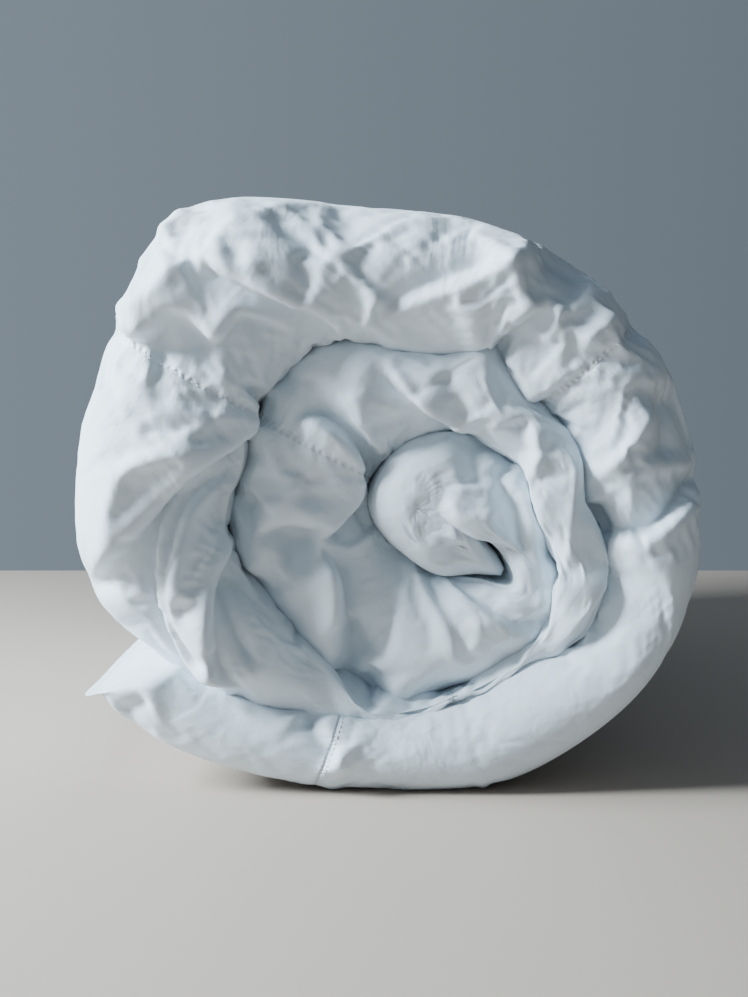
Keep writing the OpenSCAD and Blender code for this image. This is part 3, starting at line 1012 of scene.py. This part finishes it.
class DUVET_OT_studio(bpy.types.Operator):
    """Lays the floor, and sets the light and the camera"""

    bl_idname = "duvet.studio"
    bl_label = "Set Studio"

    def execute(self, context):
        scene = context.scene
        studio = scene.duvet_studio
        bm = bmesh.new()
        bmesh.ops.create_grid(bm, x_segments=1, y_segments=1, size=FLOOR_REACH)
        bmesh.ops.translate(bm, verts=bm.verts, vec=(0, FLOOR_BACK - FLOOR_REACH, 0))
        mesh = bpy.data.meshes.new("floor")
        bm.to_mesh(mesh)
        bm.free()
        floor = bpy.data.objects.new("floor", mesh)
        scene.collection.objects.link(floor)
        material, nodes, _ = new_material("floor")
        nodes["Principled BSDF"].inputs["Base Color"].default_value = (*scene.duvet_colours.floor, 1)
        nodes["Principled BSDF"].inputs["Roughness"].default_value = 0.6
        mesh.materials.append(material)
        lamp = bpy.data.lights.new("window", "AREA")
        lamp.shape = "RECTANGLE"
        lamp.size = lamp.size_y = WINDOW_SIZE
        lamp.energy = studio.key_power
        lamp.color = WINDOW_COLOUR
        window = bpy.data.objects.new("window", lamp)
        window.location = WINDOW_PLACE
        aim = Vector(WINDOW_AIM) - window.location
        window.rotation_euler = aim.to_track_quat("-Z", "Y").to_euler()
        scene.collection.objects.link(window)
        world = bpy.data.worlds.new("room")
        world.use_nodes = True
        nodes, links = world.node_tree.nodes, world.node_tree.links
        nodes["Background"].inputs["Color"].default_value = ROOM_COLOUR
        place = nodes.new("ShaderNodeTexCoord")
        split = nodes.new("ShaderNodeSeparateXYZ")
        links.new(place.outputs["Generated"], split.inputs["Vector"])
        fall = nodes.new("ShaderNodeMapRange")
        fall.inputs["From Min"].default_value = -1
        fall.inputs["To Min"].default_value = studio.sky * ROOM_SHARES[0]
        fall.inputs["To Max"].default_value = studio.sky * ROOM_SHARES[1]
        links.new(split.outputs["X"], fall.inputs["Value"])
        links.new(fall.outputs["Result"], nodes["Background"].inputs["Strength"])
        scene.world = world
        lens = bpy.data.cameras.new("camera")
        lens.lens = 50
        lens.sensor_width = 36
        camera = bpy.data.objects.new("camera", lens)
        front = CAD_BOX[0][1]
        camera.location = (CAMERA_X, front - studio.camera_distance, studio.camera_height)
        camera.rotation_euler = (math.radians(90) - studio.camera_tilt, 0, 0)
        scene.collection.objects.link(camera)
        scene.camera = camera
        return {"FINISHED"}


class DUVET_PT_panel(bpy.types.Panel):
    """Everything that builds the duvet"""

    bl_label = "Rolled Duvet"
    bl_idname = "DUVET_PT_panel"
    bl_space_type = "VIEW_3D"
    bl_region_type = "UI"
    bl_category = "Duvet"

    def draw(self, context):
        scene = context.scene
        for group in (scene.duvet_shape, scene.duvet_colours, scene.duvet_studio):
            for name in group.__annotations__:
                self.layout.prop(group, name)
        for operator in OPERATORS:
            self.layout.operator(operator.bl_idname)


OPERATORS = (DUVET_OT_studio, DUVET_OT_shell, DUVET_OT_hems, DUVET_OT_stitches)
CLASSES = (DuvetShape, DuvetColours, StudioSettings, *OPERATORS, DUVET_PT_panel)


def register():
    for cls in CLASSES:
        bpy.utils.register_class(cls)
    bpy.types.Scene.duvet_shape = PointerProperty(type=DuvetShape)
    bpy.types.Scene.duvet_colours = PointerProperty(type=DuvetColours)
    bpy.types.Scene.duvet_studio = PointerProperty(type=StudioSettings)


def unregister():
    del bpy.types.Scene.duvet_shape
    del bpy.types.Scene.duvet_colours
    del bpy.types.Scene.duvet_studio
    for cls in reversed(CLASSES):
        bpy.utils.unregister_class(cls)


def main():
    register()
    bpy.ops.duvet.studio()
    bpy.ops.duvet.shell()
    bpy.ops.duvet.hems()
    bpy.ops.duvet.stitches()


if __name__ == "__main__":
    main()
